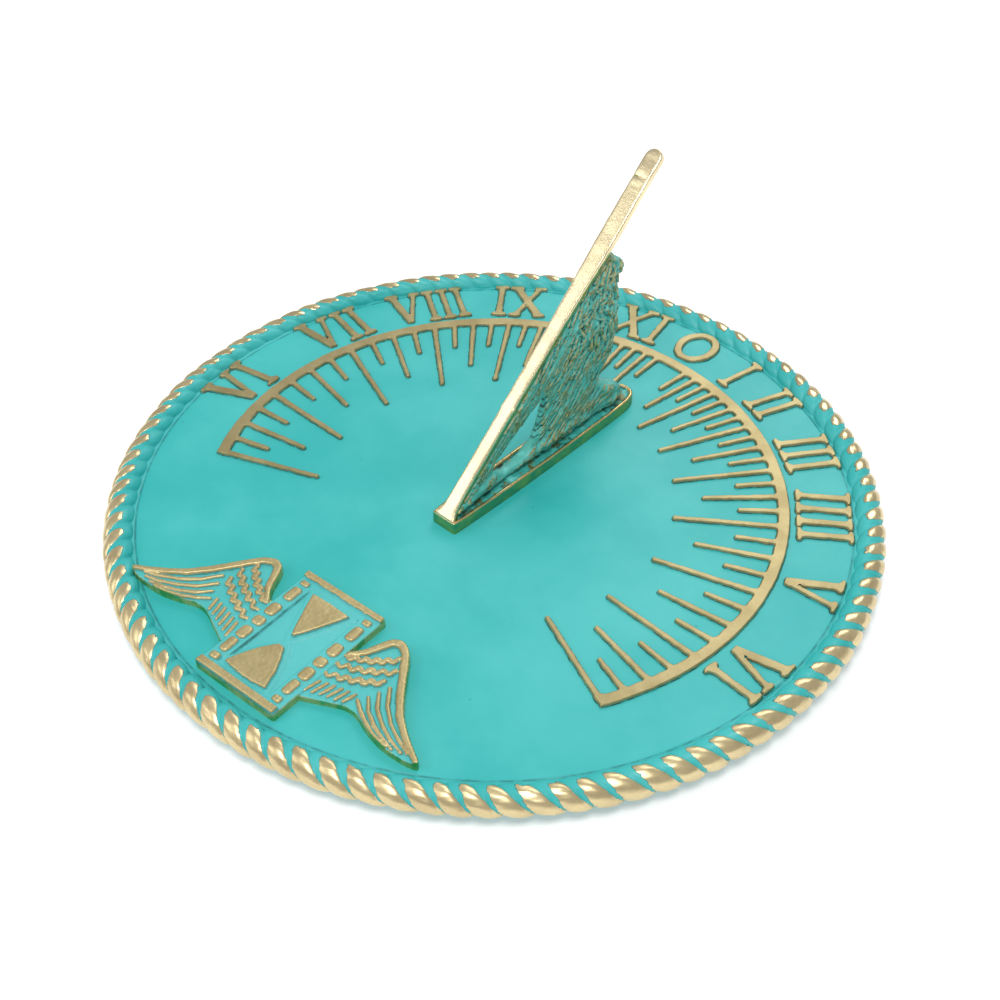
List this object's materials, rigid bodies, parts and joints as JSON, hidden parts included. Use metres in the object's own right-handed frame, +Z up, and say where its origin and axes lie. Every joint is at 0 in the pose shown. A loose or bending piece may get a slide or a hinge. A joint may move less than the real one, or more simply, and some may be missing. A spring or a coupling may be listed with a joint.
{
  "type": "garden sundial",
  "caption": "Round cast brass garden sundial with a rope rim, raised hour ring and numerals, an eagle gnomon and a winged hourglass.",
  "frame": {"origin": "centre of the round dial, on the surface the dial stands on", "axes": "+Z up out of the dial face, +Y to noon and north, +X to the afternoon hours"},
  "size_m": [0.254, 0.254, 0.103],
  "materials": {
    "dial_plate": "turquoise paint on cast brass, bare sanded brass on the raised parts",
    "gnomon": "verdigris on cast brass, polished along the style",
    "winged_hourglass": "cast brass with turquoise paint in the hollows",
    "screws": "turned brass",
    "washers": "plain brass"
  },
  "bodies": {
    "root": {"dial_plate": "dial_plate", "gnomon": "gnomon", "winged_hourglass": "winged_hourglass", "gnomon_screw_south": "screws", "gnomon_screw_north": "screws", "gnomon_washer_south": "washers", "gnomon_washer_north": "washers", "hourglass_screw_west": "screws", "hourglass_screw_east": "screws", "hourglass_washer_west": "washers", "hourglass_washer_east": "washers"}
  },
  "joints": []
}
